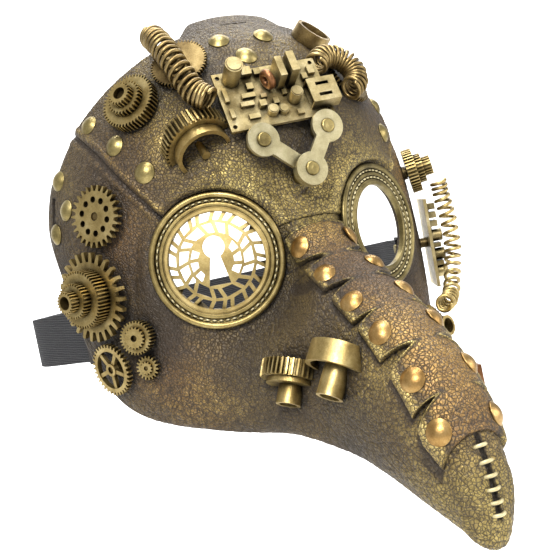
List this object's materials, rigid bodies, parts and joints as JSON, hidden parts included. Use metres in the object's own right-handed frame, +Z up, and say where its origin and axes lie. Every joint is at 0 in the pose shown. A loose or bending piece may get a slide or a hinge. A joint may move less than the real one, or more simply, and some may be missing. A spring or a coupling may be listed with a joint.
{
  "type": "plague doctor mask",
  "caption": "Beaked costume mask with a crackled gold shell, one open eye, one pierced keyhole eye, riveted beak strip, gears, springs, circuit board and elastic band.",
  "frame": {"origin": "outer skin on the bridge of the nose, midway between the eyes", "axes": "+X to the wearer's left, +Y back towards the wearer's head, +Z up"},
  "size_m": [0.2104, 0.2974, 0.2258],
  "materials": {
    "shell": "crackled, dark brown with dry-brushed antique gold",
    "panel": "crackled, antique gold over dark brown",
    "strip": "antique gold with a raised edge",
    "rivet_copper": "satin copper gold",
    "rivet": "satin olive gold",
    "staple": "satin pale gold",
    "bezel": "antique gold with a dark wash",
    "bezel_stitched": "olive gold with pale stitching",
    "lens": "antique gold with a dark wash",
    "spring": "antique gold",
    "gear": "bright gold with a dark wash",
    "old_gear": "dull gold with a dark wash",
    "board": "pale gold",
    "board_part": "pale gold with a dark wash",
    "copper": "dull copper",
    "link": "pale cream gold",
    "pin": "satin gold",
    "post": "dull",
    "band": "ribbed black elastic",
    "patch": "black",
    "stud": "satin"
  },
  "bodies": {
    "mask": {"mask_shell": "shell", "forehead_panel": "panel", "beak_strip": "strip", "beak_rivets": "rivet_copper", "beak_tip_stitches": "staple", "forehead_rivets": "rivet", "temple_rivets": "rivet", "right_eye_bezel": "bezel", "right_eye_lens": "lens", "left_eye_bezel": "bezel_stitched", "brow_spring": "spring", "brow_flat_gear": "old_gear", "brow_cup_gear": "gear", "brow_cup_collar": "gear", "circuit_board": "board", "board_capacitors": "board_part", "board_chips": "board_part", "board_inductor": "copper", "usb_sockets": "board_part", "curl_spring": "spring", "curl_flat_gear": "old_gear", "curl_cup": "old_gear", "chain_link_long": "link", "chain_link_short": "link", "chain_pins": "pin", "cheek_ring_gear": "gear", "cheek_tube": "gear", "cheek_drum": "gear", "far_board": "board", "far_board_parts": "board_part", "hose_spring": "spring", "hose_gear": "gear", "hose_tube": "gear", "beak_clip": "copper", "gear_posts": "post", "trim_pegs": "post", "elastic_band": "band", "band_patches": "patch", "band_studs": "stud"},
    "brow_step_gear_wheel": {"brow_step_gear": "gear"},
    "ten_hole_gear_wheel": {"ten_hole_gear": "gear"},
    "star_gear_wheel": {"star_gear": "gear"},
    "small_gear_wheel": {"small_gear": "gear"},
    "tiny_gear_wheel": {"tiny_gear": "gear"},
    "spoke_gear_wheel": {"spoke_gear": "gear"},
    "far_step_gear_wheel": {"far_step_gear": "gear"}
  },
  "joints": [
    {"name": "brow_step_gear_spin", "type": "hinge", "parent": "mask", "child": "brow_step_gear_wheel", "pos_m": [-0.05729, 0.03396, 0.06614], "axis": [-0.6701, -0.5728, 0.4721], "continuous": true},
    {"name": "ten_hole_gear_spin", "type": "hinge", "parent": "mask", "child": "ten_hole_gear_wheel", "pos_m": [-0.08121, 0.04145, 0.02072], "axis": [-0.8168, -0.5512, 0.1705], "continuous": true},
    {"name": "star_gear_spin", "type": "hinge", "parent": "mask", "child": "star_gear_wheel", "pos_m": [-0.08901, 0.04611, -0.0141], "axis": [-0.8823, -0.4699, 0.0269], "continuous": true},
    {"name": "small_gear_spin", "type": "hinge", "parent": "mask", "child": "small_gear_wheel", "pos_m": [-0.07613, 0.03048, -0.0346], "axis": [-0.6825, -0.7278, 0.0672], "continuous": true},
    {"name": "tiny_gear_spin", "type": "hinge", "parent": "mask", "child": "tiny_gear_wheel", "pos_m": [-0.07515, 0.02861, -0.04849], "axis": [-0.7097, -0.7026, 0.0515], "continuous": true},
    {"name": "spoke_gear_spin", "type": "hinge", "parent": "mask", "child": "spoke_gear_wheel", "pos_m": [-0.0871, 0.04446, -0.04783], "axis": [-0.9046, -0.4202, -0.0711], "continuous": true},
    {"name": "far_step_gear_spin", "type": "hinge", "parent": "mask", "child": "far_step_gear_wheel", "pos_m": [0.08471, 0.04428, 0.01452], "axis": [0.8405, -0.5218, 0.1459], "continuous": true}
  ]
}
